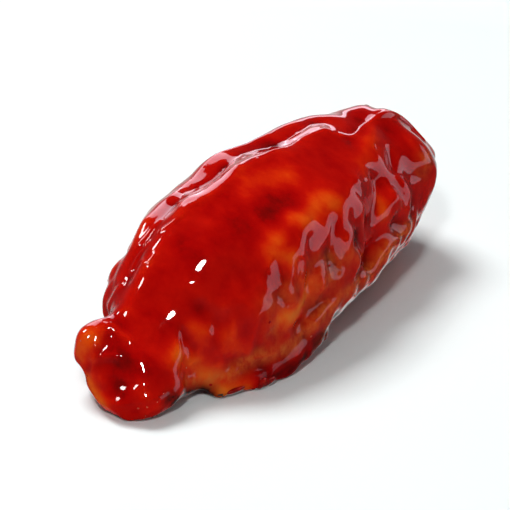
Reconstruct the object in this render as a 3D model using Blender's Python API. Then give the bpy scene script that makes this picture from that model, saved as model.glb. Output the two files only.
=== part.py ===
"""A glazed chicken wing, the flat middle joint, lying flat with its smooth skin up.

It is one solid. The meat is a loft through cross-sections, as a sculptor would block it out, and
lumps for the ends of the bones and a roll for the thick edge of the skin are melted into it. Then
the skin is pressed and drawn up into the folds, creases and wrinkles that a roasted wing has.
The narrow wrist end is at -X and the thick elbow end at +X. The wing rests on Z = 0.
"""

import math
import random

import bmesh
import bpy
import numpy as np
from mathutils import Matrix, Vector, noise
from mathutils.bvhtree import BVHTree

# Driving dimensions, in metres.
LENGTH = 0.0825
WIDTH = 0.034
HEIGHT = 0.029

# How finely the skin is made, and how many triangles of it are kept.
VOXEL = 0.0007
MELT_STEPS = 12
SETTLE_STEPS = 2
AROUND_STEPS = 48
RINGS_PER_SECTION = 4
MOST_TRIANGLES = 11400

# The underside is pressed flat where the wing lies on its plate.
PRESSED_FLAT = 0.0011

# The glaze over the whole wing, as the photograph shows it: a deep red that shines.
GLAZE_COLOUR = (0.43, 0.02, 0.005, 1.0)
GLAZE_ROUGHNESS = 0.18

# Each section is how far along it stands, then its front, top, back and bottom points as (across,
# up). Along and across run from -1 to 1 and up from 0 to 1, as shares of the driving dimensions.
SECTIONS = (
    (-0.99, (-0.04, 0.12), (0.17, 0.24), (0.39, 0.17), (0.17, 0.05)),
    (-0.94, (-0.25, 0.12), (0.17, 0.36), (0.56, 0.25), (0.12, 0.00)),
    (-0.82, (-0.36, 0.16), (0.22, 0.47), (0.64, 0.32), (0.12, 0.00)),
    (-0.66, (-0.48, 0.26), (0.24, 0.66), (0.77, 0.36), (0.12, 0.00)),
    (-0.43, (-0.80, 0.32), (0.15, 0.90), (0.94, 0.45), (0.06, 0.00)),
    (-0.08, (-0.99, 0.42), (0.07, 1.02), (1.00, 0.53), (0.00, 0.01)),
    (0.28, (-0.93, 0.50), (0.03, 1.01), (0.92, 0.55), (-0.03, 0.00)),
    (0.58, (-0.80, 0.54), (0.04, 0.96), (0.75, 0.53), (-0.03, 0.01)),
    (0.79, (-0.67, 0.55), (0.05, 0.93), (0.64, 0.51), (-0.01, 0.07)),
    (0.93, (-0.52, 0.53), (0.07, 0.82), (0.47, 0.49), (0.03, 0.22)),
    (1.00, (-0.25, 0.50), (0.09, 0.66), (0.26, 0.48), (0.05, 0.38)),
)

# Each lump is (along, across, up) for its middle, then its half length, half width and half
# height as shares of the wing's own half sizes.
LUMPS = {
    "front_elbow_knuckle": ((0.73, -0.36, 0.56), (0.18, 0.38, 0.60)),
    "back_elbow_knuckle": ((0.81, 0.15, 0.53), (0.18, 0.44, 0.72)),
    "wrist_knob": ((-0.83, 0.49, 0.33), (0.14, 0.28, 0.36)),
    "wrist_tip": ((-0.87, -0.04, 0.13), (0.11, 0.21, 0.22)),
    "front_wrist_tip": ((-0.72, -0.19, 0.15), (0.11, 0.19, 0.22)),
}

# The thick edge of the skin, along the front from the wrist up to the elbow.
FRONT_EDGE = (
    (-0.62, -0.44, 0.10), (-0.49, -0.65, 0.09), (-0.28, -0.73, 0.13),
    (0.02, -0.69, 0.22), (0.36, -0.61, 0.36), (0.64, -0.52, 0.47),
)
FRONT_EDGE_RADIUS = 0.0029
BEADS = 60

# Each stroke draws the skin up (a height above 0) or presses it in along a smooth line. It holds
# its places, then its half width and its height in metres. A place on the skin is named by how far
# along it is and by its angle round the wing in degrees: 0 is the front, 90 the top, 180 the back
# and 270 the underside. A place at an end of the wing is (along, across, up).
STROKES = {
    "shoulder_ridge": (((-0.75, 112), (-0.40, 102), (-0.06, 101), (0.13, 94), (0.41, 87)), 0.0022, 0.0008),
    "shoulder_crease": (((-0.64, 126), (-0.35, 121), (-0.03, 117), (0.24, 110), (0.49, 103)), 0.0016, -0.0008),
    "shoulder_pocket": (((0.00, 105), (0.11, 103), (0.24, 98)), 0.0018, -0.0007),
    "shoulder_branch": (((-0.40, 104), (-0.30, 112), (-0.26, 124)), 0.0016, 0.0006),
    "back_shoulder_ridge": (((-0.51, 140), (-0.19, 138), (0.18, 127), (0.56, 119)), 0.0030, 0.0007),
    "elbow_lip": (((0.51, 64), (0.66, 76), (0.79, 80), (0.88, 73), (0.94, 50), (0.88, 22)), 0.0014, 0.0010),
    "elbow_groove": (((0.47, 72), (0.60, 80), (0.76, 89), (0.91, 84), (0.96, 66)), 0.0016, -0.0009),
    "elbow_cap_hollow": (((0.68, 60), (0.81, 54)), 0.0036, -0.0007),
    "flank_crease_far": (((0.59, 46), (0.49, 34), (0.51, 16), (0.42, 4)), 0.0014, -0.0010),
    "flank_crease_middle": (((0.42, 38), (0.30, 20), (0.30, 4), (0.21, -8)), 0.0014, -0.0012),
    "flank_pit": (((0.16, 20), (0.12, 12)), 0.0017, -0.0012),
    "flank_crease_near": (((-0.13, 20), (-0.22, 4), (-0.21, -8), (-0.30, -18)), 0.0015, -0.0010),
    "edge_groove": (((-0.58, -14), (-0.30, -9), (0.08, -7), (0.32, 1), (0.58, 3)), 0.0013, -0.0008),
    "top_hollow": (((-0.19, 66), (0.06, 64)), 0.0052, -0.0006),
    "wrist_hollow": (((-0.98, -0.04, 0.30), (-0.96, 0.15, 0.28)), 0.0030, -0.0019),
    "wrist_lip": (((-0.79, -0.29, 0.20), (-0.92, -0.18, 0.18), (-1.00, 0.24, 0.14)), 0.0014, 0.0009),
    "knob_groove": (((-0.87, 0.36, 0.42), (-0.94, 0.41, 0.26)), 0.0012, -0.0009),
    "bone_valley": (((-0.67, 268), (-0.30, 272), (0.13, 274), (0.56, 270)), 0.0042, -0.0014),
    "elbow_socket": (((0.98, -0.04, 0.60), (0.98, -0.08, 0.42)), 0.0034, -0.0015),
}

# Shorter folds and low bumps that lie all along a band of the skin. Each band is how many there
# are, the angles round the wing that they start and end at, and the most that they move the skin.
FOLD_BANDS = {
    "front_flank": (15, 42, -12, 0.0010),
    "back_flank": (15, 158, 208, 0.0011),
    "underside_front": (9, -28, -62, 0.0008),
    "underside_back": (9, 216, 250, 0.0008),
}
FOLD_BAND_ENDS = (-0.74, 0.80)
FOLD_HALF_WIDTHS = (0.0012, 0.0022)
BUMP_BANDS = {
    "front_side": (9, 20, 58, 0.0008),
    "top": (7, 66, 96, 0.0005),
    "back_side": (9, 122, 170, 0.0008),
}
BUMP_HALF_WIDTHS = (0.0026, 0.0042)

STEPS_BETWEEN_STOPS = 6

# The smaller unevenness of the skin: the spacing of each kind and the most that it moves the skin.
LUMP_SPACING = 0.0095
LUMP_HEIGHT = 0.0011
WRINKLE_SPACING = 0.0042
WRINKLE_HEIGHT = 0.0011
WRINKLE_STRETCH = 2.0
CRAG_SPACING = 0.0030
CRAG_HEIGHT = 0.0005
SEED = 11


def at(along, across, up):
    """A point named by shares of the wing's size."""
    return Vector((along * LENGTH / 2, across * WIDTH / 2, up * HEIGHT))


def smooth_run(values, run):
    """The value at a place along a smooth line through the values, where run 0 is the first."""
    leg = min(int(run), len(values) - 2)
    before = values[max(leg - 1, 0)]
    start = values[leg]
    end = values[leg + 1]
    after = values[min(leg + 2, len(values) - 1)]
    t = run - leg
    bend = (before * 2 - start * 5 + end * 4 - after) * (t * t / 2)
    lean = (start * 3 - before - end * 3 + after) * (t ** 3 / 2)
    return start + (end - before) * (t / 2) + bend + lean


def section_ring(front, top, back, bottom):
    """Points round a section, in four quarter ellipses that meet smoothly."""
    ring = []
    for step in range(AROUND_STEPS):
        angle = step / AROUND_STEPS * 2 * math.pi
        side = front if math.cos(angle) > 0 else back
        cap = top if math.sin(angle) > 0 else bottom
        across = cap.y + (side.y - cap.y) * abs(math.cos(angle))
        up = side.z + (cap.z - side.z) * abs(math.sin(angle))
        ring.append(Vector((side.x, across, up)))
    return ring


def add_loft(shape):
    """The meat, lofted through the sections and closed at both ends."""
    corners = [[at(section[0], *section[which]) for section in SECTIONS] for which in (1, 2, 3, 4)]
    rings = []
    count = (len(SECTIONS) - 1) * RINGS_PER_SECTION
    for step in range(count + 1):
        run = step / RINGS_PER_SECTION
        points = section_ring(*(smooth_run(line, run) for line in corners))
        rings.append([shape.verts.new(point) for point in points])
    for ring, following in zip(rings, rings[1:]):
        for step in range(AROUND_STEPS):
            after = (step + 1) % AROUND_STEPS
            shape.faces.new((ring[step], ring[after], following[after], following[step]))
    shape.faces.new(reversed(rings[0]))
    shape.faces.new(rings[-1])


def add_lump(shape, middle, reach):
    """An ellipsoid of meat or bone end."""
    half_sizes = Vector((reach[0] * LENGTH / 2, reach[1] * WIDTH / 2, reach[2] * HEIGHT / 2))
    place = Matrix.Translation(at(*middle)) @ Matrix.Diagonal(half_sizes).to_4x4()
    bmesh.ops.create_icosphere(shape, subdivisions=4, radius=1.0, matrix=place)


def add_roll(shape, places, radius):
    """A tapered roll of skin, as a string of beads that the remeshing runs together."""
    points = [at(*place) for place in places]
    for step in range(BEADS):
        share = step / (BEADS - 1)
        taper = math.sin(math.pi * (0.12 + 0.76 * share)) ** 0.5
        place = Matrix.Translation(smooth_run(points, share * (len(points) - 1)))
        bmesh.ops.create_icosphere(shape, subdivisions=2, radius=radius * taper, matrix=place)


def middle_of_section(along):
    """The point inside the meat that angles round the wing are measured from."""
    stations = [section[0] for section in SECTIONS]
    middles = [sum((at(section[0], *corner) for corner in section[1:]), Vector()) / 4 for section in SECTIONS]
    leg = max(i for i in range(len(stations) - 1) if along >= stations[i] or i == 0)
    share = (along - stations[leg]) / (stations[leg + 1] - stations[leg])
    middle = middles[leg].lerp(middles[leg + 1], min(max(share, 0.0), 1.0))
    return Vector((along * LENGTH / 2, middle.y, middle.z))


def place_on_skin(tree, place):
    """The skin's point with this name."""
    if len(place) == 3:
        return tree.find_nearest(at(*place))[0]
    along, around = place
    angle = math.radians(around)
    outward = Vector((0, -math.cos(angle), math.sin(angle)))
    return tree.ray_cast(middle_of_section(along) + outward * LENGTH, -outward)[0]


def stroke_shares(points, line, half_width):
    """How fully a stroke along this line moves each point: 1 on the line, fading to 0 around it."""
    nearest = np.full(len(points), np.inf)
    for start, end in zip(line, line[1:]):
        run = end - start
        along = np.clip((points - start) @ run / (run @ run), 0, 1)
        nearest = np.minimum(nearest, np.linalg.norm(points - start - along[:, None] * run, axis=1))
    return np.exp(-((nearest / half_width) ** 2))


def spread_folds(draw):
    """Folds that run round the wing within each band, each with its own bend, some up, most in."""
    folds = []
    for count, first, last, most in FOLD_BANDS.values():
        for step in range(count):
            share = (step + draw.uniform(0.1, 0.9)) / count
            along = FOLD_BAND_ENDS[0] + share * (FOLD_BAND_ENDS[1] - FOLD_BAND_ENDS[0])
            from_share = draw.uniform(0.0, 0.4)
            to_share = draw.uniform(0.6, 1.0)
            lean = draw.uniform(-0.02, 0.16)
            places = []
            for stop in range(4):
                run = from_share + (to_share - from_share) * stop / 3
                bend = draw.uniform(-0.025, 0.025)
                places.append((along - lean * run + bend, first + (last - first) * run))
            move = most * draw.uniform(0.5, 1.0) * draw.choice((-1, -1, 1))
            folds.append((places, draw.uniform(*FOLD_HALF_WIDTHS), move))
    return folds


def spread_bumps(draw):
    """Low bumps of meat that show through the skin within each band."""
    bumps = []
    for count, first, last, most in BUMP_BANDS.values():
        for step in range(count):
            share = (step + draw.uniform(0.1, 0.9)) / count
            along = FOLD_BAND_ENDS[0] + share * (FOLD_BAND_ENDS[1] - FOLD_BAND_ENDS[0])
            around = draw.uniform(first, last)
            places = [(along, around), (along + draw.uniform(0.03, 0.08), around - draw.uniform(-6, 6))]
            bumps.append((places, draw.uniform(*BUMP_HALF_WIDTHS), most * draw.uniform(0.4, 1.0)))
    return bumps


def draw_strokes(skin):
    """Draws up and presses in the folds, creases and bumps, then the finer unevenness."""
    draw = random.Random(SEED)
    tree = BVHTree.FromBMesh(skin)
    skin.normal_update()
    points = np.array([vertex.co for vertex in skin.verts])
    normals = np.array([vertex.normal for vertex in skin.verts])
    moves = np.zeros(len(points))
    for places, half_width, height in [*STROKES.values(), *spread_folds(draw), *spread_bumps(draw)]:
        stops = [place_on_skin(tree, place) for place in places]
        steps = STEPS_BETWEEN_STOPS * (len(stops) - 1)
        line = [np.array(smooth_run(stops, step / STEPS_BETWEEN_STOPS)) for step in range(steps + 1)]
        moves += height * stroke_shares(points, line, half_width)
    for index, point in enumerate(points):
        moves[index] += skin_unevenness(Vector(point), normals[index])
    for vertex, normal, move in zip(skin.verts, normals, moves):
        vertex.co += Vector(normal) * move
    every_way = {"use_axis_x": True, "use_axis_y": True, "use_axis_z": True}
    for _ in range(SETTLE_STEPS):
        bmesh.ops.smooth_vert(skin, verts=skin.verts, factor=0.5, **every_way)


def skin_unevenness(point, normal):
    """Low lumps all over, and wrinkles and crags on the sides, the ends and the underside."""
    lumps = noise.noise(point / LUMP_SPACING) * LUMP_HEIGHT
    bent = noise.noise_vector(point / LUMP_SPACING)
    across_ribs = Vector((point.x, point.y / WRINKLE_STRETCH, point.z / WRINKLE_STRETCH))
    wrinkles = -abs(noise.noise(across_ribs / WRINKLE_SPACING + bent)) * WRINKLE_HEIGHT
    crags = noise.noise(point / CRAG_SPACING + bent) * CRAG_HEIGHT
    near_an_end = min(max(abs(point.x) / (LENGTH / 2) - 0.45, 0.0) * 2, 1.0)
    smooth_top = min(max(normal[2] * 1.3, 0.0), 1.0) * (1 - 0.5 * near_an_end)
    return lumps + (wrinkles + crags) * (1 - 0.85 * smooth_top)


def clear_scene():
    for thing in list(bpy.data.objects):
        bpy.data.objects.remove(thing)


def evaluated_copy(thing):
    """The object's mesh with its modifiers run, in place of the mesh and the modifiers."""
    graph = bpy.context.evaluated_depsgraph_get()
    mesh = bpy.data.meshes.new_from_object(thing.evaluated_get(graph))
    thing.modifiers.clear()
    thing.data = mesh


def block_out():
    """The wing as one smooth skin round its meat and bone ends."""
    shape = bmesh.new()
    add_loft(shape)
    for middle, reach in LUMPS.values():
        add_lump(shape, middle, reach)
    add_roll(shape, FRONT_EDGE, FRONT_EDGE_RADIUS)
    bmesh.ops.recalc_face_normals(shape, faces=shape.faces)
    mesh = bpy.data.meshes.new("wing")
    shape.to_mesh(mesh)
    shape.free()
    wing = bpy.data.objects.new("wing", mesh)
    bpy.context.scene.collection.objects.link(wing)
    remesh = wing.modifiers.new("one skin", "REMESH")
    remesh.mode = "VOXEL"
    remesh.voxel_size = VOXEL
    melt = wing.modifiers.new("melt", "SMOOTH")
    melt.factor = 0.5
    melt.iterations = MELT_STEPS
    evaluated_copy(wing)
    return wing


def thin_out(wing):
    """Keeps the triangles where the skin bends most."""
    triangles = sum(len(face.vertices) - 2 for face in wing.data.polygons)
    thin = wing.modifiers.new("thin out", "DECIMATE")
    thin.ratio = MOST_TRIANGLES / triangles
    thin.use_collapse_triangulate = True
    evaluated_copy(wing)


def lay_down(skin):
    """Sets the wing on the plate, presses its lowest skin flat and centres it on the origin."""
    plate = min(vertex.co.z for vertex in skin.verts) + PRESSED_FLAT
    for vertex in skin.verts:
        vertex.co.z = max(vertex.co.z - plate, 0.0)
    for axis in (0, 1):
        reach = [vertex.co[axis] for vertex in skin.verts]
        middle = (min(reach) + max(reach)) / 2
        for vertex in skin.verts:
            vertex.co[axis] -= middle


def glaze(wing):
    """One plain material, which the scene's own skin and sauce replace."""
    material = bpy.data.materials.new("glazed skin")
    material.use_nodes = True
    surface = material.node_tree.nodes["Principled BSDF"]
    surface.inputs["Base Color"].default_value = GLAZE_COLOUR
    surface.inputs["Roughness"].default_value = GLAZE_ROUGHNESS
    surface.inputs["Metallic"].default_value = 0.0
    wing.data.materials.clear()
    wing.data.materials.append(material)


def reshape(wing, change):
    """Runs one of the steps above on the object's mesh."""
    skin = bmesh.new()
    skin.from_mesh(wing.data)
    change(skin)
    skin.to_mesh(wing.data)
    skin.free()


def main():
    noise.seed_set(SEED)
    clear_scene()
    wing = block_out()
    reshape(wing, draw_strokes)
    thin_out(wing)
    reshape(wing, lay_down)
    glaze(wing)


main()
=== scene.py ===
# %% [markdown]
# # A glazed chicken wing
#
# The real thing is the flat middle joint of a chicken wing, roasted until its skin shrinks into
# folds and then rolled in a thick red glaze. Its shape is already there as a solid, so this lesson
# is about everything that the solid leaves out: the fine creases, the wet glaze, the places where
# the glaze runs thin and the meat glows orange, the scorched edge, the drops and the crumbs.
# The first cell brings in the solid as a fixed frame. Nothing in the lesson moves it.

# %% Load the solid wing
import math
import random

import bpy
import numpy as np
from mathutils import Matrix, Vector
from mathutils.bvhtree import BVHTree


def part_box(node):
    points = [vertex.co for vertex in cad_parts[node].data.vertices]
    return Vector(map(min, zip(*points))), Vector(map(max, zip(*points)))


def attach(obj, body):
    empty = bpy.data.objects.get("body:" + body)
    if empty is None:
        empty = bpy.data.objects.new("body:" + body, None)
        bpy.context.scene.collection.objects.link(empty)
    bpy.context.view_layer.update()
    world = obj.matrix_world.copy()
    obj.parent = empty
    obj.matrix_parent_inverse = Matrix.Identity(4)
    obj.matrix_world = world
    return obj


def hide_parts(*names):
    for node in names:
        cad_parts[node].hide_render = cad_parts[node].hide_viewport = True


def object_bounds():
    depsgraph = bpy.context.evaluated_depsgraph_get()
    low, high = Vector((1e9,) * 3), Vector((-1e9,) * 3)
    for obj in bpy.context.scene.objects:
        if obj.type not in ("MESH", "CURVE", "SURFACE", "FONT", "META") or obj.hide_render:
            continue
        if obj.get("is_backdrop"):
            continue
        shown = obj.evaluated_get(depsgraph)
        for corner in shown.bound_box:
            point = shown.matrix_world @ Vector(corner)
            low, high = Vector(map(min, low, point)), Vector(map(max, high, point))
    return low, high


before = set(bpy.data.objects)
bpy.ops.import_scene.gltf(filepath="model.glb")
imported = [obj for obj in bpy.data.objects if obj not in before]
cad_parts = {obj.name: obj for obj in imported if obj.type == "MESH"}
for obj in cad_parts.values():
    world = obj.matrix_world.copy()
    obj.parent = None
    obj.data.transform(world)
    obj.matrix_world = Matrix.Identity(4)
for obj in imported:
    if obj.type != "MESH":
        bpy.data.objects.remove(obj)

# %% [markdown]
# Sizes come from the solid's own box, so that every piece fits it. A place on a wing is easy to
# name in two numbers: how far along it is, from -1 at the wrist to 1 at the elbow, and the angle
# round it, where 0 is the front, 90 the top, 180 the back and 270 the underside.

MM = 0.001
cad_box = [list(corner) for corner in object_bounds()]
low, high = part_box("wing")
HALF_LENGTH = (high.x - low.x) / 2
HALF_WIDTH = (high.y - low.y) / 2
HEIGHT = high.z - low.z
print("the wing is", [round(2000 * half) for half in (HALF_LENGTH, HALF_WIDTH)], "mm long and wide")

# %% [markdown]
# Two small helpers stand in for the hands. One selects a single object, as a click on it does. The
# other adds a modifier, sets it and applies it, as the Modifiers tab does. Loading the solid leaves
# it selected, so nothing is done before everything else is deselected.

# %% Hands


def select_only(thing):
    """Selects one object and makes it the active one."""
    bpy.ops.object.select_all(action="DESELECT")
    thing.select_set(True)
    bpy.context.view_layer.objects.active = thing


def finish_with(thing, kind, name, **settings):
    """Adds a modifier to the object, sets it and applies it."""
    select_only(thing)
    modifier = thing.modifiers.new(name, kind)
    for setting, value in settings.items():
        setattr(modifier, setting, value)
    bpy.ops.object.modifier_apply(modifier=name)


def faces_of(thing):
    """How many triangles the object's mesh makes."""
    return sum(len(face.vertices) - 2 for face in thing.data.polygons)


# %% [markdown]
# ## The skin
#
# The skin starts as a copy of the solid. A copy arrives as loose triangles, so its doubles are
# merged first. Sculptors then remesh, because a fine even net of squares takes creases far better
# than long triangles do. Subdividing would keep the old triangles' pattern in the gloss, and a
# remesh doesn't. A little smoothing rounds off the facets that are left.

# %% Copy the solid and give it a fine net
NET = 0.325 * MM
FACET_ROUNDS = 12


def copy_of_the_wing():
    """A copy of the solid's mesh with its doubles merged, as an object of its own."""
    copy = bpy.data.objects.new("glazed_skin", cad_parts["wing"].data.copy())
    bpy.context.scene.collection.objects.link(copy)
    copy.data.materials.clear()
    select_only(copy)
    bpy.ops.object.mode_set(mode="EDIT")
    bpy.ops.mesh.select_all(action="SELECT")
    bpy.ops.mesh.remove_doubles(threshold=0.01 * MM)
    bpy.ops.object.mode_set(mode="OBJECT")
    return copy


def smooth_skin(name, rounds, group=""):
    """Moves each point halfway to the middle of its neighbours, this many times."""
    finish_with(skin, "SMOOTH", name, factor=0.5, iterations=rounds, vertex_group=group)


skin = copy_of_the_wing()
finish_with(skin, "REMESH", "even net", mode="VOXEL", voxel_size=NET)
smooth_skin("round off the facets", FACET_ROUNDS)
print("the skin has", faces_of(skin), "triangles")

# %% [markdown]
# A place such as (0.2, 45) becomes a point by shooting a ray at the skin from outside, towards the
# wing's middle line. The ends have no clear angle, so a place there is three numbers instead: how
# far along, across and up it is.

# %% Find places on the skin
MIDDLE_LINE = (
    (-0.99, 0.17, 0.15), (-0.82, 0.15, 0.24), (-0.66, 0.16, 0.32),
    (-0.43, 0.09, 0.42), (-0.08, 0.02, 0.50), (1.0, 0.03, 0.51),
)
tree = BVHTree.FromObject(skin, bpy.context.evaluated_depsgraph_get())


def in_the_frame(along, across, up):
    """A point named by shares of the wing's size."""
    return Vector((along * HALF_LENGTH, across * HALF_WIDTH, up * HEIGHT))


def inside_at(along):
    """The point on the middle line that is this far along."""
    stations, across, up = zip(*MIDDLE_LINE)
    return in_the_frame(along, np.interp(along, stations, across), np.interp(along, stations, up))


def on_skin(place):
    """The skin's point at a place, and the way that the skin faces there."""
    if len(place) == 3:
        return tree.find_nearest(in_the_frame(*place))[:2]
    along, around = place
    outward = Vector((0, -math.cos(math.radians(around)), math.sin(math.radians(around))))
    point, facing = tree.ray_cast(inside_at(along) + outward * HALF_LENGTH, -outward)[:2]
    return (point, facing) if point else tree.find_nearest(inside_at(along))[:2]


print("the middle of the top is", on_skin((0, 90))[0])

# %% [markdown]
# Nearly everything on this wing is drawn along lines: folds, threads of glaze and strokes of colour.
# A few places make a smooth line on the skin, and each point's nearness to it is its weight, which
# fades out as a soft brush does. It could be done with sculpt brushes too. A named line is a brush
# stroke that can be changed again tomorrow.

# %% Draw smooth lines on the skin


def smooth_line(places, steps=8):
    """Points along a smooth curve through the places, laid on the skin."""
    stops = [on_skin(place)[0] for place in places]
    stops = [stops[0], *stops, stops[-1]]
    points = []
    for before, start, end, after in zip(stops, stops[1:], stops[2:], stops[3:]):
        for step in range(steps):
            t = step / steps
            bend = (before * 2 - start * 5 + end * 4 - after) * (t * t / 2)
            lean = (start * 3 - before - end * 3 + after) * (t ** 3 / 2)
            points.append(start + (end - before) * (t / 2) + bend + lean)
    return points + [stops[-1]]


def nearness(points, line, half_width):
    """1 on the line, fading to 0 at about twice the half width."""
    nearest = np.full(len(points), np.inf)
    ends = [np.array(point) for point in line]
    for start, end in zip(ends, ends[1:]):
        run = end - start
        along = np.clip((points - start) @ run / max(run @ run, 1e-12), 0, 1)
        gaps = points - start - along[:, None] * run
        nearest = np.minimum(nearest, np.einsum("ij,ij->i", gaps, gaps))
    return np.exp(-nearest / half_width ** 2)


# %% [markdown]
# The glaze lies calm over the top and over the dome of the elbow, and the solid's low lumps would
# spoil its reflections there. A vertex group picks those parts out, and only they are smoothed
# again. A band has the angles where it fades in, those where it fades out, and where along the wing
# it begins. One deep crevice in the flank and the blunt face of the wrist are lines instead, each
# with its half width in millimetres and its share. Smoothing the whole wing again would be simpler,
# but it would melt the folds of the flank.

# %% Calm the top


def points_of(thing):
    """The places of the object's vertices, as rows of a table."""
    flat = np.zeros(len(thing.data.vertices) * 3)
    thing.data.vertices.foreach_get("co", flat)
    return flat.reshape(-1, 3)


def places_of(points):
    """How far along the wing each point is, and its angle round it."""
    along = points[:, 0] / HALF_LENGTH
    stations, across, up = zip(*MIDDLE_LINE)
    inward = points[:, 1] - np.interp(along, stations, across) * HALF_WIDTH
    rise = points[:, 2] - np.interp(along, stations, up) * HEIGHT
    return along, np.degrees(np.arctan2(rise, -inward)) % 360


def step_between(values, low_value, high_value):
    """0 below the low value, 1 above the high one, and a soft step between them."""
    t = np.clip((values - low_value) / (high_value - low_value), 0, 1)
    return t * t * (3 - 2 * t)


def paint_group(thing, name, weights, shades=1000):
    """A vertex group with these weights, as weight paint makes it."""
    group = thing.vertex_groups.new(name=name)
    painted = np.rint(np.clip(weights, 0, 1) * shades).astype(int)
    for shade in np.unique(painted[painted > 0]):
        group.add(np.flatnonzero(painted == shade).tolist(), float(shade) / shades, "REPLACE")
    return name


CALM_BANDS = {
    "top": ((38, 54), (90, 103), (-0.80, -0.62)),
    "elbow": ((12, 26), (140, 160), (0.44, 0.60)),
}
CALM_LINES = {
    "flank_crevice": (((0.37, -0.62, 0.82), (0.19, -0.84, 0.69), (0.16, -0.85, 0.50)), 2.6, 0.9),
    "tip_face": (((-0.93, -0.12, 0.24), (-0.95, 0.14, 0.24)), 3.6, 1.0),
}
CALM_ROUNDS = 60
along_skin, around_skin = places_of(points_of(skin))
calm = np.zeros(len(along_skin))
for fade_in, fade_out, begins in CALM_BANDS.values():
    band = step_between(around_skin, *fade_in) * (1 - step_between(around_skin, *fade_out))
    calm = np.maximum(calm, band * step_between(along_skin, *begins))
for places, half_width, share in CALM_LINES.values():
    calm = np.maximum(calm, share * nearness(points_of(skin), smooth_line(places), half_width * MM))
smooth_skin("calm the top", CALM_ROUNDS, paint_group(skin, "calm", calm))
tree = BVHTree.FromObject(skin, bpy.context.evaluated_depsgraph_get())
print("calmed", round(100 * calm.mean()), "percent of the skin")

# %% [markdown]
# ## Creases and ridges
#
# Roasted skin shrinks, so it gathers in ridges over the shoulder, which split round a smooth lens of
# skin, and in short folds down the flank. Each is a line with its half width and its height in
# millimetres. A height above 0 draws the skin up, and one below presses it in. A Displace modifier
# moves the skin by the line's weight. A sculptor would pull each one by hand, which looks as good
# but can't be measured or moved afterwards.

# %% Draw the folds that show
FRONT_ROLL = (
    (-0.72, -25), (-0.59, -29), (-0.48, -23), (-0.32, -25), (-0.18, -19),
    (-0.06, -15), (0.22, -17), (0.33, -10), (0.56, -12),
)
FOLDS = {
    "shoulder_line": (
        ((0.43, 84), (0.32, 88), (0.20, 91), (0.10, 92), (0.03, 92), (-0.05, 96)), 0.7, 0.22,
    ),
    "lens": (((-0.02, 112), (0.08, 111), (0.20, 108)), 1.8, 0.25),
    "lens_rim": (((-0.26, 131), (-0.14, 133), (0.02, 131), (0.14, 126), (0.30, 119)), 0.8, 0.15),
    "island": (((-0.02, 118), (-0.10, 121), (-0.16, 124)), 0.9, -0.28),
    "patch_edge": (((-0.08, 99), (-0.16, 96), (-0.24, 95), (-0.32, 98)), 1.0, 0.35),
    "patch_hollow": (((-0.16, 108), (-0.24, 109), (-0.30, 113)), 1.0, -0.28),
    "elbow_shelf": (((0.30, 98), (0.45, 98), (0.60, 96)), 2.2, 0.30),
    "thumb_bump": (((-0.60, 60), (-0.58, 55)), 1.1, 0.16),
    "tip_fill": (((-0.915, -0.14, 0.215), (-0.915, 0.05, 0.215), (-0.925, 0.28, 0.22)), 1.6, 0.80),
    "tip_fill_low": (((-0.945, -0.10, 0.17), (-0.95, 0.08, 0.165), (-0.95, 0.22, 0.17)), 1.2, 0.45),
    "flank_far": (((0.60, 42), (0.56, 30), (0.59, 18), (0.55, 6)), 1.2, -0.30),
    "flank_far_ridge": (((0.50, 30), (0.46, 16), (0.48, 4)), 1.4, 0.34),
    "flank_tongue": (((0.26, 38), (0.22, 26), (0.14, 17), (0.05, 13)), 1.5, 0.42),
    "flank_pit": (((0.13, 12), (0.09, 10)), 0.9, -0.40),
    "flank_step": (((0.02, 26), (-0.06, 12), (-0.04, 0)), 1.0, -0.36),
    "flank_swell": (((-0.12, 18), (-0.14, 6)), 1.6, 0.40),
    "flank_notch": (((-0.24, 22), (-0.27, 12), (-0.25, 2)), 0.9, -0.42),
    "flank_near_ridge": (((-0.35, 28), (-0.34, 16), (-0.30, 4)), 1.1, 0.34),
    "flank_near_pit": (((-0.43, 20), (-0.42, 12)), 0.8, -0.36),
    "flank_low_ridge": (((-0.50, 20), (-0.49, 6), (-0.51, -16)), 1.1, 0.30),
    "roll_crest": (FRONT_ROLL, 0.9, 0.30),
    "roll_groove": (((-0.62, -14), (-0.44, -10), (-0.24, -8), (-0.04, -6), (0.20, -6)), 0.8, -0.22),
}

# %% [markdown]
# The back and the underside aren't seen, but the same skin goes on there. Short bent folds are
# spread over them, and a few over the low front, by a seeded draw, so that the wing comes out alike
# every time. Each band has its number of folds and its angles. A fold crosses the band by its turn,
# slants by its lean, and has its half width and height in millimetres.

# %% Spread the other folds, and press them all in
draw = random.Random(5)
SPREAD_BANDS = {"back": (26, 158, 205), "underside": (22, 212, 320), "low_front": (6, -12, 12)}
FOLD_ALONG = (-0.76, 0.84)
FOLD_TURN = (10, 30)
FOLD_LEAN = (-0.06, 0.06)
FOLD_WANDER = (-0.02, 0.02)
FOLD_HALF_WIDTH = (0.45, 0.9)
FOLD_HEIGHT = (0.12, 0.34)
DEEPEST = 0.8


def spread_fold(first, last):
    """One short bent fold round about these angles, drawn up or, twice as often, pressed in."""
    along = draw.uniform(*FOLD_ALONG)
    around = draw.uniform(first, last)
    turn = draw.uniform(*FOLD_TURN)
    lean = draw.uniform(*FOLD_LEAN)
    places = []
    for share in (-1, 0, 1):
        places.append((along + lean * share + draw.uniform(*FOLD_WANDER), around + turn * share))
    half_width = draw.uniform(*FOLD_HALF_WIDTH)
    return places, half_width, draw.uniform(*FOLD_HEIGHT) * draw.choice((-1, -1, 1))


spread = []
for count, first, last in SPREAD_BANDS.values():
    spread += [spread_fold(first, last) for _ in range(count)]


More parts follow.
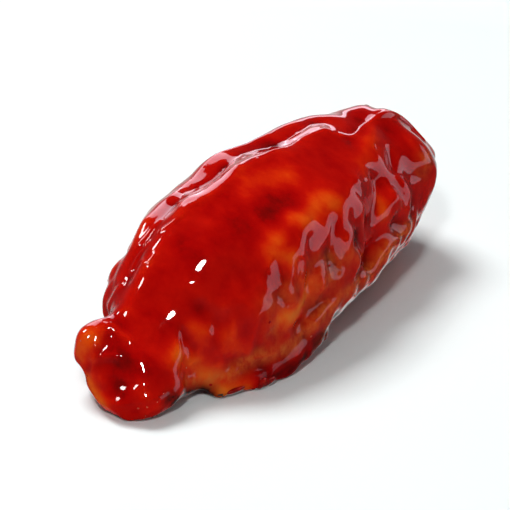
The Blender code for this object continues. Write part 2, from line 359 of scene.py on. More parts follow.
def draw_folds(folds, name):
    """Draws the skin up, or presses it in, along these lines."""
    points = points_of(skin)
    heights = np.zeros(len(points))
    for places, half_width, height in folds:
        heights += height * nearness(points, smooth_line(places), half_width * MM)
    for way, group in ((1, name + "_up"), (-1, name + "_in")):
        paint_group(skin, group, heights * way / DEEPEST)
        strength = way * DEEPEST * MM
        finish_with(skin, "DISPLACE", group, vertex_group=group, strength=strength, mid_level=0.0)


draw_folds([*FOLDS.values(), *spread], "folds")
print(len(FOLDS), "named folds and", len(spread), "spread ones")

# %% [markdown]
# ## Fine unevenness
#
# Between the folds the skin is never quite smooth. On the flank, the wrist, the back and the
# underside it is rough from the roasting, and over the top the glaze lies in a calm, slowly rolling
# sheet. A cloud texture drives a Displace modifier for each scale, with its spacing and height in
# millimetres, and a vertex group keeps the rough ones off the calm top. A bump in the material would
# be quicker, but it would leave the outline smooth, and here the mesh itself is uneven.

# %% Roughen the skin where the roasting did


def clouds(name, spacing, hard):
    """A cloud texture of this spacing. Hard clouds have sharp valleys, as wrinkles do."""
    texture = bpy.data.textures.new(name, "CLOUDS")
    texture.noise_scale = spacing
    texture.noise_depth = 1
    texture.noise_type = "HARD_NOISE" if hard else "SOFT_NOISE"
    return texture


def facing_of(thing):
    """The way that each vertex faces."""
    flat = np.zeros(len(thing.data.vertices) * 3)
    thing.data.vertices.foreach_get("normal", flat)
    return flat.reshape(-1, 3)


SETTLE_ROUNDS = 4
WRIST_SHARE = 0.25
CALM_CUT = 0.85
RIM_CUT = 0.6
turned_down = step_between(-facing_of(skin)[:, 2], -0.62, 0.1)
at_the_wrist = 1 - step_between(along_skin, -0.92, -0.66)
behind_the_rim = step_between(around_skin, 105, 120) * (1 - step_between(around_skin, 165, 180))
rough = np.clip(turned_down + WRIST_SHARE * at_the_wrist, 0, 1)
rough *= (1 - CALM_CUT * calm) * (1 - RIM_CUT * behind_the_rim)
paint_group(skin, "rough", rough)
ROUGHNESS = {
    "gathers": (3.8, 0.75, False, "rough"),
    "wrinkles": (1.8, 0.08, True, "rough"),
    "swells": (8.0, 0.30, False, ""),
}
for name, (spacing, height, hard, group) in ROUGHNESS.items():
    settings = {"texture": clouds(name, spacing * MM, hard), "texture_coords": "LOCAL"}
    settings.update({"strength": height * MM, "mid_level": 0.5, "vertex_group": group})
    finish_with(skin, "DISPLACE", name, **settings)
smooth_skin("let the glaze settle", SETTLE_ROUNDS)
print("roughened by", len(ROUGHNESS), "cloud textures")

# %% [markdown]
# Last come the threads: thin ridges of glaze, as fine as string, that catch a line of light. They
# are drawn after the smoothing, which would have melted them. Four wriggle down from the shoulder,
# one curls over the elbow, and the wrist has three short ones. Thin bevelled curves laid on the skin
# would make threads too, but with a seam all along, and glaze has none.

# %% Draw the threads of glaze
ELBOW_LIP = ((0.46, 74), (0.52, 68), (0.62, 71), (0.75, 70), (0.86, 64), (0.91, 48), (0.89, 32))
THREADS = {
    "squiggle_top": (((-0.34, 98), (-0.38, 101), (-0.42, 99), (-0.46, 105), (-0.48, 111)), 0.42, 0.26),
    "squiggle_back": (((-0.41, 122), (-0.44, 125), (-0.48, 127), (-0.51, 131)), 0.42, 0.24),
    "squiggle_low": (((-0.52, 118), (-0.55, 126), (-0.59, 131), (-0.61, 128)), 0.42, 0.24),
    "squiggle_hook": (((-0.58, 101), (-0.61, 105), (-0.60, 112)), 0.42, 0.24),
    "elbow_lip": (ELBOW_LIP, 0.50, 0.34),
    "wrist_streak": (((-0.84, 0.35, 0.44), (-0.84, 0.24, 0.415), (-0.84, 0.12, 0.39)), 0.70, 0.46),
    "wrist_bar": (((-0.93, 0.38, 0.295), (-0.92, 0.28, 0.31), (-0.90, 0.17, 0.32)), 0.70, 0.46),
    "wrist_stem": (((-0.925, 0.36, 0.36), (-0.94, 0.36, 0.20)), 0.60, 0.40),
}
draw_folds(THREADS.values(), "threads")
smooth_skin("round off the threads", 1)
print("drew", len(THREADS), "threads")

# %% [markdown]
# The wing lies on its underside, so nothing may hang below the floor. Edit mode could flatten it
# with a scale of 0. Here the few points below the floor are set on it, which is the same thing.

# %% Rest the skin on the floor


def rest_on_floor(thing):
    """Sets the points below the floor on it."""
    points = points_of(thing)
    points[:, 2] = np.maximum(points[:, 2], 0.0)
    thing.data.vertices.foreach_set("co", points.ravel())
    thing.data.update()


rest_on_floor(skin)
select_only(skin)
bpy.ops.object.shade_smooth()
print("the skin's box is", [round(1000 * size, 1) for size in skin.dimensions], "mm in size")

# %% [markdown]
# ## What the glaze does
#
# Glaze runs off the ridges and gathers in the hollows. Where it is thick, it is nearly maroon, and
# where it is thin, the fat under it glows orange. So the material has to know how high each point
# stands over its neighbours. The points are averaged with their neighbours many times, and how far
# the real point stands out from that calm skin is kept as an attribute called relief. The renderer
# can measure this too, as Pointiness, but an attribute is part of the mesh and stays with it.

# %% Measure how far each point stands out


def calmed(thing, points, rounds):
    """The points after being averaged with their neighbours this many times."""
    edges = np.zeros(len(thing.data.edges) * 2, dtype=int)
    thing.data.edges.foreach_get("vertices", edges)
    first, second = edges.reshape(-1, 2).T
    count = np.bincount(edges, minlength=len(points))[:, None]
    for _ in range(rounds):
        total = np.zeros_like(points)
        for axis in range(3):
            total[:, axis] += np.bincount(first, points[second, axis], minlength=len(points))
            total[:, axis] += np.bincount(second, points[first, axis], minlength=len(points))
        points = total / count
    return points


def keep(thing, name, values):
    """Stores one number for each point, for the material to read."""
    attribute = thing.data.attributes.new(name, "FLOAT", "POINT")
    attribute.data.foreach_set("value", np.asarray(values, dtype=np.float32))


skin_points = points_of(skin)
skin_facing = facing_of(skin)
CALMING_ROUNDS = 51
stand_out = np.einsum("ij,ij->i", skin_points - calmed(skin, skin_points, CALMING_ROUNDS), skin_facing)
RELIEF_REACH = 0.25 * MM
relief = np.clip(stand_out / RELIEF_REACH, -1, 1)
keep(skin, "relief", relief)
print("the skin stands out by", round(1000 * stand_out.max(), 2), "mm at most")

# %% [markdown]
# Some of it isn't a rule but this wing's own pattern: orange pools of thin glaze, the brown roasted
# roll of skin at the front edge, the maroon of thick glaze at the wrist, and the near-black rim
# below it, which is partly scorch and partly painted contact shadow where the wing meets the table.
# The maroon under the front roll is partly thick glaze and partly painted shade. Each is painted by
# the same kind of line, with its half width in millimetres and its strength. The sides that aren't
# seen get spots of the same kinds by a seeded draw.

# %% Paint thin and thick glaze, brown skin, scorch, and painted shade
THIN_GLAZE = {
    "over_the_top": (((-0.12, 84), (-0.05, 79), (0.02, 70)), 2.6, 0.26),
    "front_glow": (((-0.15, 44), (-0.09, 38), (0.02, 43), (0.06, 37)), 2.0, 0.42),
    "front_glow_low": (((-0.28, 40), (-0.31, 34), (-0.27, 26)), 1.8, 0.40),
    "under_the_lip": (((0.58, 57), (0.45, 53), (0.36, 46)), 2.2, 0.16),
    "far_flank": (((0.40, 30), (0.36, 12)), 1.3, 0.40),
    "wrist_glow": (((-0.76, 12), (-0.71, -9), (-0.65, -26)), 2.0, 0.52),
    "wrist_side": (((-0.66, 20), (-0.58, 6), (-0.55, -12)), 2.0, 0.22),
    "knob": (((-0.94, 0.51, 0.30), (-0.92, 0.45, 0.40)), 2.0, 0.34),
    "tip_edge": (((-0.95, 0.41, 0.17), (-0.97, 0.32, 0.12), (-0.99, 0.18, 0.07)), 1.3, 0.45),
    "flank_gold": (((-0.37, -5), (-0.28, -7), (-0.18, 1)), 1.6, 0.60),
    "behind_the_shoulder": (((-0.36, 140), (-0.46, 136)), 2.0, 0.15),
}
BROWN_SKIN = {
    "front_roll": (FRONT_ROLL, 1.3, 0.80),
    "low_flank": (((-0.40, -8), (-0.24, -4), (-0.08, 0)), 2.2, 0.50),
    "mid_flank": (((-0.42, 8), (-0.30, 10), (-0.12, 10), (0.06, 4)), 2.0, 0.30),
    "elbow_side": (((0.73, 17), (0.78, 24)), 1.5, 0.55),
}
THICK_GLAZE_AND_SHADE = {
    "wrist_pool": (((-0.90, 0.16, 0.34), (-0.90, 0.02, 0.32), (-0.89, -0.14, 0.28)), 1.9, 0.40),
    "tip_pool": (((-0.955, 0.10, 0.20), (-0.962, 0.0, 0.14), (-0.96, -0.15, 0.11)), 2.0, 0.40),
    # Under the front roll the maroon is partly thick glaze and partly painted shade under the roll.
    "shade_under_the_roll": (((-0.57, -36), (-0.48, -36), (-0.20, -34), (0.10, -30)), 1.8, 0.90),
    "lens_pool": (((0.00, 115), (0.10, 114), (0.22, 111)), 2.0, 0.25),
    "main_pool": (((-0.52, 70), (-0.34, 62), (-0.14, 56)), 3.4, 0.30),
    "flank_pool": (((0.13, 12), (0.09, 10)), 1.2, 0.60),
    "elbow_pool": (((0.72, 60), (0.80, 48)), 2.2, 0.12),
}
SCORCH_AND_SHADE = {
    # Along the lower rim, where the wing meets the table, the near black is partly scorch and partly
    # painted contact shadow. The other two strokes darken the low back and the underside the same way.
    "burnt_and_shaded_rim": (((-0.86, -16), (-0.80, -30), (-0.72, -38), (-0.64, -40)), 1.4, 1.0),
    "burnt_back": (((-0.60, 208), (-0.40, 214), (-0.20, 212)), 1.3, 0.7),
    "burnt_elbow": (((0.90, 300), (0.80, 310)), 1.4, 0.6),
}
SPOT_ALONG = (-0.82, 0.88)
SPOT_AROUND = (168, 330)
SPOT_LENGTH = (0.02, 0.10)
SPOT_SLANT = (-14, 14)
SPOT_HALF_WIDTH = (1.4, 3.0)


def painted(strokes):
    """How strongly these strokes paint each point of the skin, with a later one over an earlier."""
    total = np.zeros(len(skin_points))
    for places, half_width, strength in strokes.values():
        stroke = strength * nearness(skin_points, smooth_line(places), half_width * MM)
        total = total + stroke * (1 - total)
    return total


def spread_spots(count, most):
    """Spots on the sides that aren't seen, so that those are as lively as the front."""
    spots = {}
    for number in range(count):
        along, around = draw.uniform(*SPOT_ALONG), draw.uniform(*SPOT_AROUND)
        end = (along + draw.uniform(*SPOT_LENGTH), around + draw.uniform(*SPOT_SLANT))
        half_width = draw.uniform(*SPOT_HALF_WIDTH)
        spots[f"spot_{number}"] = (((along, around), end), half_width, most * draw.uniform(0.4, 1.0))
    return spots


thin = painted({**THIN_GLAZE, **spread_spots(26, 0.75)})
brown = painted({**BROWN_SKIN, **spread_spots(12, 0.7)})
thick = painted({**THICK_GLAZE_AND_SHADE, **spread_spots(14, 0.7)})
scorch_and_contact_shade = painted(SCORCH_AND_SHADE)
for name, values in {"thin": thin, "brown": brown, "thick": thick, "scorch_and_contact_shade": scorch_and_contact_shade}.items():
    keep(skin, name, values)
strokes = [*THIN_GLAZE, *BROWN_SKIN, *THICK_GLAZE_AND_SHADE, *SCORCH_AND_SHADE]
print("painted", len(strokes), "strokes of colour")

# %% [markdown]
# ## The glaze's material
#
# One Principled shader does the skin and its glaze. Its base is the coloured meat and fat, with a
# little subsurface light so that thin places glow, and its coat is the wet sugar film, almost
# without roughness, which gives the sharp reflections. The colour runs over a ramp from maroon
# through deep red to orange and amber by how thin the glaze is. Painting a picture on it would give
# the same look from one side only. A rule for the colour works all round the wing. The helpers
# below add one node each. Noise hardly ever leaves the range from 0.3 to 0.7, so that is the range
# that gets rescaled, and a narrower one where patches need harder edges.

# %% Node helpers
NOISE_RANGE = (0.3, 0.7)


def new_material(name):
    """An empty material with its Principled shader and its node tree."""
    material = bpy.data.materials.new(name)
    material.use_nodes = True
    return material, material.node_tree, material.node_tree.nodes["Principled BSDF"]


def set_surface(surface, **values):
    """Sets values on the shader's own sockets."""
    for name, value in values.items():
        surface.inputs[name.replace("_", " ")].default_value = value


def add_node(net, kind, inputs=None, **settings):
    """A node with its settings, and its inputs set or joined to other nodes' outputs."""
    node = net.nodes.new("ShaderNode" + kind)
    for setting, value in settings.items():
        setattr(node, setting, value)
    for place, value in (inputs or {}).items():
        if isinstance(value, bpy.types.NodeSocket):
            net.links.new(value, node.inputs[place])
        else:
            node.inputs[place].default_value = value
    return node


def calculate(net, operation, first, second=0.0, third=0.0, clamp=False):
    """One sum on numbers or outputs."""
    inputs = {0: first, 1: second, 2: third}
    return add_node(net, "Math", inputs, operation=operation, use_clamp=clamp).outputs[0]


def read(net, name):
    """The attribute of this name."""
    return add_node(net, "Attribute", attribute_name=name).outputs["Fac"]


def noise(net, where, spacing, detail=3.0, roughness=0.55, distortion=0.0):
    """Noise whose lumps are about this far apart, in metres."""
    inputs = {"Vector": where, "Scale": 1 / spacing, "Detail": detail}
    inputs.update({"Roughness": roughness, "Distortion": distortion})
    return add_node(net, "TexNoise", inputs).outputs["Fac"]


def rescale(net, value, from_low, from_high, to_low, to_high):
    """Moves a value from one range to another, held within it."""
    inputs = {0: value, 1: from_low, 2: from_high, 3: to_low, 4: to_high}
    return add_node(net, "MapRange", inputs).outputs[0]


def blend_colours(net, share, first, second):
    """Goes from the first colour to the second by the share."""
    node = add_node(net, "Mix", {0: share, 6: first, 7: second}, data_type="RGBA")
    return node.outputs[2]


def ramp(net, share, stops):
    """A colour ramp through the stops."""
    node = add_node(net, "ValToRGB", {0: share})
    band = node.color_ramp.elements
    while len(band) < len(stops):
        band.new(0.5)
    for element, (position, colour) in zip(band, stops):
        element.position = position
        element.color = (*colour, 1.0)
    return node.outputs[0]


# %% [markdown]
# The ramp's colours are mixed against the food: hardly any green or blue is left in light
# that has passed a thick red glaze, and the amber of the thin places still holds far more red than
# green. On the ridges the glaze is thinner, so relief is added to the painted thinness, and noise
# at three scales breaks up every edge.

# %% Mix the glazed skin
MAROON = (0.105, 0.0012, 0.0010)
DEEP_RED = (0.33, 0.0006, 0.0005)
BRIGHT_RED = (0.46, 0.0040, 0.0010)
RED_ORANGE = (0.58, 0.0190, 0.0012)
ORANGE = (0.65, 0.061, 0.0030)
AMBER = (0.71, 0.132, 0.0085)
ROAST_BROWN = (0.54, 0.104, 0.016)
CHAR_AND_SHADE_BLACK = (0.018, 0.004, 0.003)
GLAZE_COLOURS = (
    (0.0, MAROON), (0.20, DEEP_RED), (0.40, BRIGHT_RED),
    (0.58, RED_ORANGE), (0.78, ORANGE), (1.0, AMBER),
)
PLAIN_THINNESS = 0.27
THINNER_ON_RIDGES = 0.12
DARKER_IN_POOLS_AND_SHADE = -0.42
SHELTER = (1.0 * MM, 6.0 * MM)
SHELTERED_COAT = 0.15
BLOTCH_SWING = 0.09
MOTTLE_SWING = 0.035
GRAIN_SWING = 0.02
BROWN_EDGES = (0.36, 0.64)
BROWN_SHARES = (0.25, 1.0)
CHAR_AND_SHADE_EDGES = (0.30, 0.55)
CHAR_AND_SHADE_SHARES = (0.45, 1.15)
SKIN_ROUGHNESS = (0.24, 0.42)


def sheltered_coat(net, where):
    """A full coat high up, and little near the table, where it mirrors nothing but its own shadow."""
    height = add_node(net, "SeparateXYZ", {0: where}).outputs["Z"]
    return rescale(net, height, *SHELTER, SHELTERED_COAT, 1.0)


def glazed_skin_material():
    """Deep red glaze over roasted skin."""
    material, net, surface = new_material("red glaze on skin")
    where = add_node(net, "TexCoord").outputs["Object"]
    round_the_wing = add_node(net, "Mapping", {"Vector": where, "Scale": (1.3, 0.9, 0.9)}).outputs[0]
    blotches = noise(net, round_the_wing, 5.0 * MM, 3.0, 0.55, 0.2)
    mottle = noise(net, round_the_wing, 1.7 * MM, 3.0, 0.6)
    grain = noise(net, where, 0.45 * MM, 2.0, 0.6)
    ridges = read(net, "relief")
    thinness = calculate(net, "MULTIPLY_ADD", ridges, THINNER_ON_RIDGES, PLAIN_THINNESS)
    thinness = calculate(net, "ADD", thinness, read(net, "thin"))
    for pattern, swing in ((blotches, BLOTCH_SWING), (mottle, MOTTLE_SWING), (grain, GRAIN_SWING)):
        thinness = calculate(net, "ADD", thinness, rescale(net, pattern, *NOISE_RANGE, -swing, swing))
    # The thick attribute also holds the painted shade under the front roll.
    pools_and_shade = read(net, "thick")
    thinness = calculate(net, "MULTIPLY_ADD", pools_and_shade, DARKER_IN_POOLS_AND_SHADE, thinness, clamp=True)
    colour = ramp(net, thinness, GLAZE_COLOURS)
    brown_mottle = rescale(net, mottle, *BROWN_EDGES, *BROWN_SHARES)
    browned = calculate(net, "MULTIPLY", read(net, "brown"), brown_mottle, clamp=True)
    colour = blend_colours(net, browned, colour, (*ROAST_BROWN, 1.0))
    # Near black for the scorch and for the painted contact shadow along the lower rim, mottled.
    char_and_shade_mottle = rescale(net, mottle, *CHAR_AND_SHADE_EDGES, *CHAR_AND_SHADE_SHARES)
    charred_and_shaded = calculate(net, "MULTIPLY", read(net, "scorch_and_contact_shade"), char_and_shade_mottle, clamp=True)
    colour = blend_colours(net, charred_and_shaded, colour, (*CHAR_AND_SHADE_BLACK, 1.0))
    net.links.new(colour, surface.inputs["Base Color"])
    matt = rescale(net, mottle, *NOISE_RANGE, *SKIN_ROUGHNESS)
    net.links.new(matt, surface.inputs["Roughness"])
    waves = calculate(net, "MULTIPLY_ADD", grain, 0.25, mottle)
    bump = add_node(net, "Bump", {"Strength": 0.25, "Distance": 0.06 * MM, "Height": waves})
    net.links.new(bump.outputs["Normal"], surface.inputs["Normal"])
    set_surface(surface, Specular_IOR_Level=0.0, Subsurface_Weight=0.12, Subsurface_Scale=1.6 * MM)
    surface.inputs["Subsurface Radius"].default_value = (1.0, 0.22, 0.08)
    set_surface(surface, Coat_Roughness=0.035, Coat_IOR=1.5)
    net.links.new(sheltered_coat(net, where), surface.inputs["Coat Weight"])
    return material


skin.data.materials.append(glazed_skin_material())
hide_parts("wing")
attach(skin, "root")

# %% [markdown]
# ## Drops of glaze
#
# Glaze that has run down hangs in drops low on the front and the back. Small beads of it stand
# under the front roll, and on the wrist, the flank, the elbow and the back, each with its own point
# of light. A bead is an ico sphere squashed against the skin. It is modelled once, and each copy is
# turned to face as the skin does. Particles could spread them too, but they aren't a mesh, and these
# have to be one.

# %% A bead, and how pieces are set on the skin


def new_bead(name, subdivisions, flatness):
    """A smooth flattened ball, with its flat way up along Z."""
    bpy.ops.object.select_all(action="DESELECT")
    bpy.ops.mesh.primitive_ico_sphere_add(subdivisions=subdivisions, radius=1.0)
    bead = bpy.context.object
    bead.name = name
    bpy.ops.object.mode_set(mode="EDIT")
    bpy.ops.transform.resize(value=(1.0, 1.0, flatness))
    bpy.ops.object.mode_set(mode="OBJECT")
    bpy.ops.object.shade_smooth()
    return bead


def set_down(model, place, stretch, spin, sink):
    """A copy of the model on the skin, facing as the skin does. At a sink of 0 its middle is on the
    skin, and at 1 it lies below it by half the last stretch."""
    point, facing = on_skin(place)
    turn = facing.to_track_quat("Z", "Y").to_matrix().to_4x4() @ Matrix.Rotation(spin, 4, "Z")
    size = Matrix.Diagonal((*stretch, 1.0))
    copy = bpy.data.objects.new(model.name, model.data.copy())
    bpy.context.scene.collection.objects.link(copy)
    copy.data.transform(Matrix.Translation(point - facing * sink * stretch[2] * 0.5) @ turn @ size)
    return copy


def join_all(copies, name):
    """Joins the copies into one piece."""
    bpy.ops.object.select_all(action="DESELECT")
    for copy in copies:
        copy.select_set(True)
    bpy.context.view_layer.objects.active = copies[0]
    bpy.ops.object.join()
    copies[0].name = name
    return copies[0]


# %% [markdown]
# The beads are spread over bands by the seeded draw: a band has its number of beads, how far along
# and at what angles they lie, and their radii in millimetres. The few large drops hang where the
# glaze runs together, so they are placed one by one, with how far the flat bead is stretched along,
# across and up, in millimetres, and its turn.

# %% Set the beads and the hanging drops
BEAD_SINK = 0.5
DROP_SINK = 0.8
BEAD_BANDS = {
    "wrist_knob": (5, (-0.96, -0.88), (130, 190), (0.12, 0.22)),
    "wrist_tip": (4, (-0.97, -0.86), (-40, 0), (0.12, 0.22)),
    "front_roll": (16, (-0.66, 0.60), (-46, -30), (0.40, 1.00)),
    "flank": (6, (-0.60, 0.70), (-8, 20), (0.20, 0.40)),
    "back": (26, (-0.80, 0.85), (172, 225), (0.25, 0.85)),
    "elbow": (6, (0.82, 0.96), (60, 180), (0.20, 0.45)),
}
DROPS = {
    "first": ((-0.56, -38), (2.2, 1.1, 0.9), 0.1),
    "second": ((-0.45, -37), (1.9, 1.1, 0.9), 0.3),
    "third": ((-0.15, -34), (1.6, 1.1, 0.8), -0.2),
    "fourth": ((0.16, -28), (1.5, 1.0, 0.8), 0.2),
    "back_one": ((-0.30, 216), (1.8, 1.2, 0.9), 0.0),
    "back_two": ((0.22, 214), (1.6, 1.1, 0.8), 0.4),
}
bead = new_bead("bead model", 3, 0.55)
beads = []
for count, along_ends, around_ends, radii in BEAD_BANDS.values():
    for _ in range(count):
        place = (draw.uniform(*along_ends), draw.uniform(*around_ends))
        radius = draw.uniform(*radii) * MM
        stretch = (radius * draw.uniform(1.0, 1.7), radius, radius)
        beads.append(set_down(bead, place, stretch, draw.uniform(0, math.pi), BEAD_SINK))
for place, stretches, spin in DROPS.values():
    beads.append(set_down(bead, place, [stretch * MM for stretch in stretches], spin, DROP_SINK))
glaze_beads = join_all(beads, "glaze_beads")
bpy.data.objects.remove(bead)
rest_on_floor(glaze_beads)
print(len(beads), "beads and drops,", faces_of(glaze_beads), "triangles")

# %% [markdown]
# A bead holds more glaze than the film does, so it is darker. It has the same wet coat, and a
# little noise in its colour, because burnt sugar is never even.

# %% Mix the glaze of the beads
BEAD_COLOURS = (
    (0.25, (0.15, 0.0012, 0.0010)), (0.55, (0.32, 0.0030, 0.0015)), (0.80, (0.50, 0.020, 0.0030)),
)


def bead_material():
    """Thick, clear-looking dark red glaze."""
    material, net, surface = new_material("thick red glaze")
    where = add_node(net, "TexCoord").outputs["Object"]
    cloudy = noise(net, where, 1.3 * MM, 3.0, 0.6)
    net.links.new(ramp(net, cloudy, BEAD_COLOURS), surface.inputs["Base Color"])
    net.links.new(rescale(net, cloudy, *NOISE_RANGE, 0.18, 0.30), surface.inputs["Roughness"])
    bump = add_node(net, "Bump", {"Strength": 0.2, "Distance": 0.08 * MM, "Height": cloudy})
    net.links.new(bump.outputs["Normal"], surface.inputs["Normal"])
    set_surface(surface, Specular_IOR_Level=0.0, Subsurface_Weight=0.15, Subsurface_Scale=1.2 * MM)
    surface.inputs["Subsurface Radius"].default_value = (1.0, 0.2, 0.08)
    set_surface(surface, Coat_Weight=1.0, Coat_Roughness=0.03, Coat_IOR=1.5)
    return material


glaze_beads.data.materials.clear()
glaze_beads.data.materials.append(bead_material())
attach(glaze_beads, "root")

# %% [markdown]
# ## Scorched flecks, painted shade along the rim, and crumbs
#
# The thin rim under the wrist is near black, partly scorched and partly painted contact shadow where
# it meets the table, and the dark flecks along it stand for both. More flecks lie on the back and the
# underside, and specks of the coating came loose and were glazed over. A fleck is a small plate bent
# out of shape: an ico sphere of few faces, flattened, with its corners pushed about. Smooth balls
# would look like more beads, so these keep sharp edges. Three models of each kind, stretched and
# turned, are enough to hide that they repeat.

# %% Make the flecks and the crumbs
CHIP_SINK = 0.7


def new_crumb(name, flatness, unevenness):
    """A rough chip of few faces."""
    crumb = new_bead(name, 2, flatness)
    points = points_of(crumb)
    for corner in points:
        corner *= 1 + draw.uniform(-unevenness, unevenness)
    crumb.data.vertices.foreach_set("co", points.ravel())
    select_only(crumb)
    bpy.ops.object.shade_flat()
    return crumb


def scatter(name, flatness, unevenness, bands, radii, kinds=3):
    """Chips of a few kinds spread over the bands and joined into one piece."""
    models = [new_crumb("chip model", flatness, unevenness) for _ in range(kinds)]
    copies = []
    for count, along_ends, around_ends in bands:
        for _ in range(count):
            radius = draw.uniform(*radii) * MM
            stretch = (radius * draw.uniform(0.8, 1.6), radius, radius * draw.uniform(0.7, 1.1))
            place = (draw.uniform(*along_ends), draw.uniform(*around_ends))
            model = draw.choice(models)
            copies.append(set_down(model, place, stretch, draw.uniform(0, math.pi), CHIP_SINK))
    for model in models:
        bpy.data.objects.remove(model)
    joined = join_all(copies, name)
    rest_on_floor(joined)
    print(name, len(copies), "chips,", faces_of(joined), "triangles")
    return joined


# The first two bands lie along the lower rim, where the flecks are partly char and partly painted
# contact shadow. The others are char on the back and the underside.
CHAR_AND_SHADE_BANDS = (
    (26, (-0.88, -0.62), (-48, -34)), (8, (-0.62, -0.10), (-50, -38)),
    (18, (-0.70, 0.40), (208, 232)), (8, (0.72, 0.92), (290, 330)),
)
CRUMB_BANDS = (
    (9, (-0.97, -0.86), (-44, -8)), (9, (-0.97, -0.86), (130, 190)), (10, (-0.84, 0.70), (-34, -6)),
    (20, (-0.84, 0.85), (140, 220)), (8, (0.80, 0.96), (20, 170)),
)
char_and_shade_flecks = scatter("char_and_shade_flecks", 0.35, 0.30, CHAR_AND_SHADE_BANDS, (0.20, 0.55))
crust_crumbs = scatter("crust_crumbs", 0.60, 0.24, CRUMB_BANDS, (0.10, 0.24))

# %% [markdown]
# Char, and the painted contact shadow that the flecks along the lower rim stand for, is black with
# brown specks and still catches some gloss, because the glaze went over it.
# The crumbs are the coating's own red brown.

# %% Mix the char and the crumbs


def chip_material(name, dark, light, roughness):
    """A rough chip under a film of glaze."""
    material, net, surface = new_material(name)
    where = add_node(net, "TexCoord").outputs["Object"]
    speckle = noise(net, where, 0.5 * MM, 4.0, 0.65)
    net.links.new(ramp(net, speckle, ((0.32, dark), (0.68, light))), surface.inputs["Base Color"])
    net.links.new(rescale(net, speckle, *NOISE_RANGE, *roughness), surface.inputs["Roughness"])
    bump = add_node(net, "Bump", {"Strength": 0.5, "Distance": 0.08 * MM, "Height": speckle})
    net.links.new(bump.outputs["Normal"], surface.inputs["Normal"])
    set_surface(surface, Coat_Weight=0.8, Coat_Roughness=0.08, Coat_IOR=1.5)
    return material


FINISHES = {
    char_and_shade_flecks: ("burnt glaze and painted shade", (0.010, 0.003, 0.002), (0.060, 0.012, 0.006), (0.35, 0.6)),
    crust_crumbs: ("coating crumb", (0.34, 0.010, 0.003), (0.62, 0.090, 0.015), (0.3, 0.5)),
}
for piece, finish in FINISHES.items():
    piece.data.materials.clear()
    piece.data.materials.append(chip_material(*finish))
    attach(piece, "root")

# %% [markdown]
# ## The table top
#
# The wing lies on plain white. A floor that is lit this brightly would veil the whole flank with
# its reflection, so the floor itself is hidden from the gloss, and the world below glows instead.
# Away from the lamps it fades to a glow of its own, as the lit far end of a studio's white sweep
# does, so that no dark horizon shows from low down. A curved backdrop would hide the horizon too,
# but from one side only.

# %% Floor
FLOOR_SIZE = 4.0
FLOOR_COLOURS = ((0.3, (0.82, 0.87, 0.87)), (0.7, (0.85, 0.90, 0.90)))
GLOW_BEGINS = 0.12
GLOW_IS_FULL = 0.45
bpy.ops.object.select_all(action="DESELECT")
bpy.ops.mesh.primitive_plane_add(size=FLOOR_SIZE, location=(0, 0, 0))
floor = bpy.context.object
floor.name = "floor"
floor_material, floor_net, floor_surface = new_material("white table top")
floor_where = add_node(floor_net, "TexCoord").outputs["Object"]
floor_shade = noise(floor_net, floor_where, 0.12, 2.0)
floor_net.links.new(ramp(floor_net, floor_shade, FLOOR_COLOURS), floor_surface.inputs["Base Color"])
far_out = add_node(floor_net, "VectorMath", {0: floor_where}, operation="LENGTH").outputs["Value"]
own_glow = rescale(floor_net, far_out, GLOW_BEGINS, GLOW_IS_FULL, 0.0, 1.0)
floor_net.links.new(own_glow, floor_surface.inputs["Emission Strength"])
set_surface(floor_surface, Roughness=0.7, Specular_IOR_Level=0.1)
floor.data.materials.append(floor_material)
floor.visible_glossy = False
floor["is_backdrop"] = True
print("the floor glows by itself from", GLOW_BEGINS, "m out")

# %% [markdown]
# ## Light
#
# A wet surface shows whatever is round it, so its gloss and its colour are lit apart. For the gloss
# there is a soft box low behind the wing, which draws the pale patches over the shoulder, a strip
# below it for the thin line along the top edge, a card on the right for the folds of the flank, and
# three small round lamps for the crisp white points. The soft box, the strip and the card are a
# little lavender, as the light that the glaze mirrors is. For the colour there is a key lamp high
# up behind the left shoulder, which throws the short soft shadow forwards, and two broad dim fills.
# The highest of the small lamps lights both. The rest of the room is dark, and that is what keeps
# the red deep: one great soft box would be easier, but it would lay a pale veil over all of it.

# %% Lights
MIDDLE = Vector((-3.5, -1.0, 14.0)) * MM
VIEW_AZIMUTH = -56.0
VIEW_ELEVATION = 28.0
LAVENDER = (1.0, 0.84, 0.97)
WHITE = (1.0, 1.0, 1.0)


def direction(azimuth, elevation):
    """The way from the wing to something seen at this compass angle and height, in degrees."""
    turn, rise = math.radians(azimuth), math.radians(elevation)
    return Vector((math.sin(turn) * math.cos(rise), -math.cos(turn) * math.cos(rise), math.sin(rise)))


def add_lamp(name, compass, elevation, distance, size, radiance, lights="both", colour=WHITE):
    """An area lamp that faces the wing. Compass 0 is straight behind the wing as the camera sees it,
    and it grows to the right. A size of one number makes a round lamp. Radiance is how bright the
    lamp looks, where white paper is 1. A lamp lights the gloss, the matt colours, or both."""
    toward = direction(VIEW_AZIMUTH + 180 - compass, elevation)
    data = bpy.data.lights.new(name, "AREA")
    if isinstance(size, tuple):
        data.shape = "RECTANGLE"
        data.size, data.size_y = size
        area = size[0] * size[1]
    else:
        data.shape = "DISK"
        data.size = size
        area = math.pi * size * size / 4
    data.energy = radiance * area * math.pi
    data.color = colour
    lamp = bpy.data.objects.new(name, data)
    bpy.context.scene.collection.objects.link(lamp)
    lamp.location = MIDDLE + toward * distance
    lamp.rotation_mode = "QUATERNION"
    lamp.rotation_quaternion = toward.to_track_quat("Z", "Y")
    lamp.visible_glossy = lights != "matt"
    lamp.visible_diffuse = lights != "gloss"


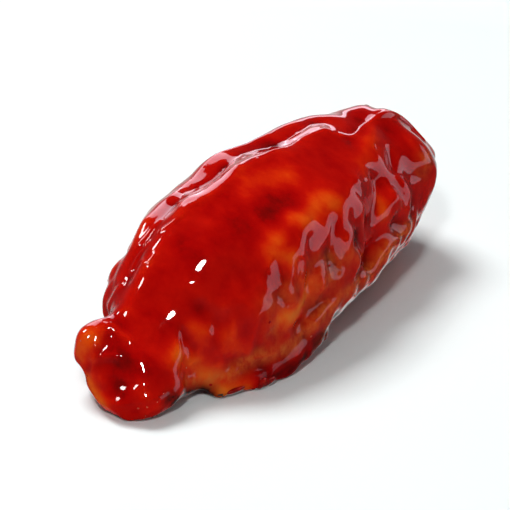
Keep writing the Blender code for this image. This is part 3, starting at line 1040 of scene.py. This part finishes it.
add_lamp("back_soft_box", -18, 24, 0.60, (0.20, 0.40), 3.1, "gloss", LAVENDER)
add_lamp("low_back_strip", 3, 5, 0.60, (0.34, 0.09), 2.7, "gloss", LAVENDER)
add_lamp("right_card", 86, 10, 0.60, (0.95, 0.25), 1.25, "gloss", LAVENDER)
add_lamp("left_lamp", -54, 28, 0.60, 0.10, 18.0, "gloss")
add_lamp("far_left_lamp", -106, 39, 0.60, 0.11, 25.0, "gloss")
add_lamp("high_lamp", -172, 47, 0.70, 0.092, 76.0)
add_lamp("key", -45, 63, 0.80, (0.35, 0.35), 15.5, "matt")
add_lamp("overhead_fill", 0, 80, 1.10, (1.2, 1.2), 0.36, "matt")
add_lamp("front_fill", 150, 38, 1.00, (0.8, 0.8), 0.70, "matt")
print("set", len(bpy.data.lights), "lamps")

# %% [markdown]
# The world is what shows where there is no lamp. High up it is nearly black, so the red stays deep.
# Below the horizon, on the far side, it glows like the white table under the soft box, which is what
# draws a thin pale line along the wing's edges. Straight into the camera it is a pale wall. A
# direction's height runs from -1 straight down to 1 straight up, and it is on the far side where it
# nearly agrees with the way that the first camera looks.

# %% World
DIM_ROOM = 0.02
LOW_WALL = 0.05
TABLE_GLOW = 0.07
FAR_TABLE_GLOW = 0.70
PALE_WALL = 1.0
FAR_SIDE = (0.78, 0.96)
WALL_FADES = (0.05, 0.45)
HORIZON = (-0.06, 0.03)
world = bpy.data.worlds.new("studio")
bpy.context.scene.world = world
world.use_nodes = True
world_net = world.node_tree
seen = add_node(world_net, "LightPath").outputs["Is Camera Ray"]
way = add_node(world_net, "TexCoord").outputs["Generated"]
height = add_node(world_net, "SeparateXYZ", {0: way}).outputs["Z"]
looking = -direction(VIEW_AZIMUTH, VIEW_ELEVATION)
far_side = add_node(world_net, "VectorMath", {0: way, 1: looking}, operation="DOT_PRODUCT")
table = rescale(world_net, far_side.outputs["Value"], *FAR_SIDE, TABLE_GLOW, FAR_TABLE_GLOW)
wall = rescale(world_net, height, *WALL_FADES, LOW_WALL, DIM_ROOM)
over_table = rescale(world_net, height, *HORIZON, 0.0, 1.0)
room = add_node(world_net, "Mix", {0: over_table, 2: table, 3: wall}).outputs[0]
seen_wall = calculate(world_net, "MULTIPLY", seen, PALE_WALL)
brightness = calculate(world_net, "MAXIMUM", room, seen_wall)
world_net.links.new(brightness, world_net.nodes["Background"].inputs["Strength"])
world_net.nodes["Background"].inputs["Color"].default_value = (1.0, 1.0, 1.0, 1.0)

# %% [markdown]
# ## Camera
#
# A long lens from a little above and from the left, as food is usually shot. The further the camera
# stands, the less the near end swells, so it stands well back, and the lens is worked out from the
# width that the picture has to hold.

# %% Camera
FRAME_WIDTH = 83.2 * MM
CAMERA_DISTANCE = 0.75
camera_data = bpy.data.cameras.new("camera")
camera = bpy.data.objects.new("camera", camera_data)
bpy.context.scene.collection.objects.link(camera)
toward_camera = direction(VIEW_AZIMUTH, VIEW_ELEVATION)
camera.location = MIDDLE + toward_camera * CAMERA_DISTANCE
camera.rotation_mode = "QUATERNION"
camera.rotation_quaternion = toward_camera.to_track_quat("Z", "Y")
camera_data.lens = camera_data.sensor_width * CAMERA_DISTANCE / FRAME_WIDTH
camera_data.clip_start = 0.01
camera_data.clip_end = 20.0
bpy.context.scene.camera = camera
bpy.context.scene.view_settings.view_transform = "Standard"
print("the lens is", round(camera_data.lens), "mm")

# %% [markdown]
# ## Check the size
#
# The dressed wing has to fill the same box as its solid. Both boxes are measured, and the last
# line prints how far the box grew.

# %% Write the sizes and finish
visual_box = [list(corner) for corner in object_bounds()]
grown = [round(1000 * (new - old), 2) for new, old in zip(sum(visual_box, []), sum(cad_box, []))]
print("the box grew by", grown, "mm")
